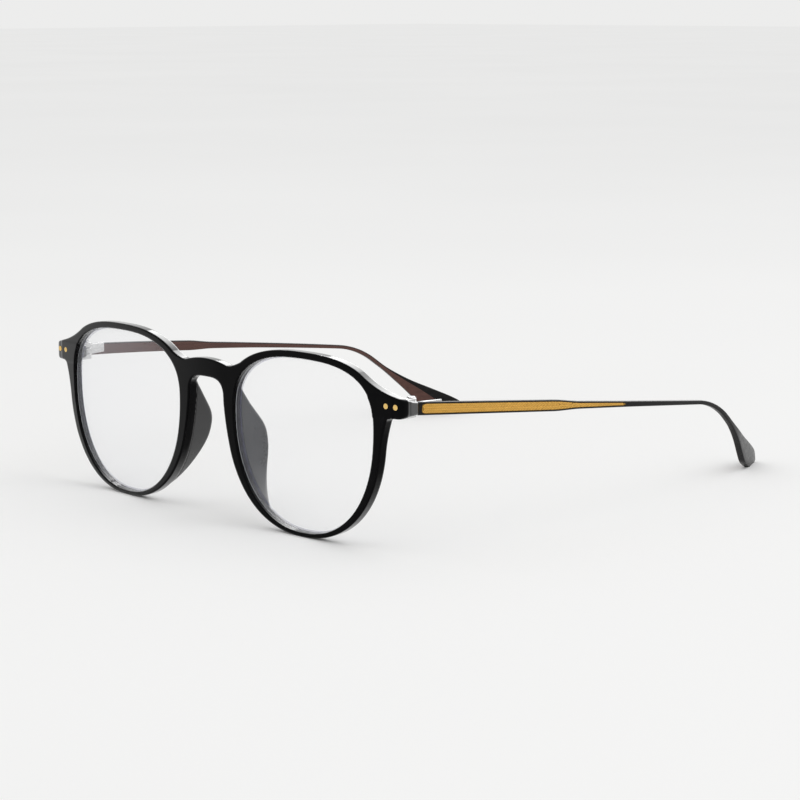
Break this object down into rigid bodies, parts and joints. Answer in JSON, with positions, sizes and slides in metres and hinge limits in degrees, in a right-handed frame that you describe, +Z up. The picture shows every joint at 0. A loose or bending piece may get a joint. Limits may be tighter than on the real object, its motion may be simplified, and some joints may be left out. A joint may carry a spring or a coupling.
{
  "type": "eyeglasses",
  "caption": "Panto eyeglasses with a glossy moulded front, keyhole-like bridge, slim metal temples with gold herringbone panels, and temples that fold on screwed hinges.",
  "frame": {"origin": "on the surface it stands on, midway between the sides and midway between the front face and the temple tips", "axes": "+X to the wearer's left, -Y the way the wearer looks, +Z up; the temples are open and the front and both tips stand on z = 0"},
  "size_m": [0.1434, 0.1526, 0.0455],
  "materials": {
    "black_front": "polished black moulded front",
    "black_pads": "polished black pads",
    "clear_lens": "clear, with a faint blue-violet coating",
    "gold_rivets": "polished gold plate",
    "gold_inlay": "gold plate with a pressed herringbone",
    "temple_paint": "black outside, brown inside, satin",
    "hinge_metal": "nickel-plated",
    "screw_steel": "bright steel",
    "washer_steel": "plain steel"
  },
  "bodies": {
    "front": {"front_frame": "black_front", "lens_left": "clear_lens", "nose_pad_left": "black_pads", "rivet_inner_left": "gold_rivets", "rivet_outer_left": "gold_rivets", "hinge_front_left": "hinge_metal", "hinge_screw_left": "screw_steel", "hinge_washer_upper_left": "washer_steel", "hinge_washer_lower_left": "washer_steel", "lens_right": "clear_lens", "nose_pad_right": "black_pads", "rivet_inner_right": "gold_rivets", "rivet_outer_right": "gold_rivets", "hinge_front_right": "hinge_metal", "hinge_screw_right": "screw_steel", "hinge_washer_upper_right": "washer_steel", "hinge_washer_lower_right": "washer_steel"},
    "left_temple": {"temple_left": "temple_paint", "temple_inlay_left": "gold_inlay", "hinge_temple_left": "hinge_metal"},
    "right_temple": {"temple_right": "temple_paint", "temple_inlay_right": "gold_inlay", "hinge_temple_right": "hinge_metal"}
  },
  "joints": [
    {"name": "left_temple_fold", "type": "hinge", "parent": "front", "child": "left_temple", "pos_m": [0.0629, -0.06596, 0.03435], "axis": [0, 0, 1], "range_deg": [0, 90]},
    {"name": "right_temple_fold", "type": "hinge", "parent": "front", "child": "right_temple", "pos_m": [-0.0629, -0.06596, 0.03435], "axis": [0, 0, -1], "range_deg": [0, 86]}
  ]
}
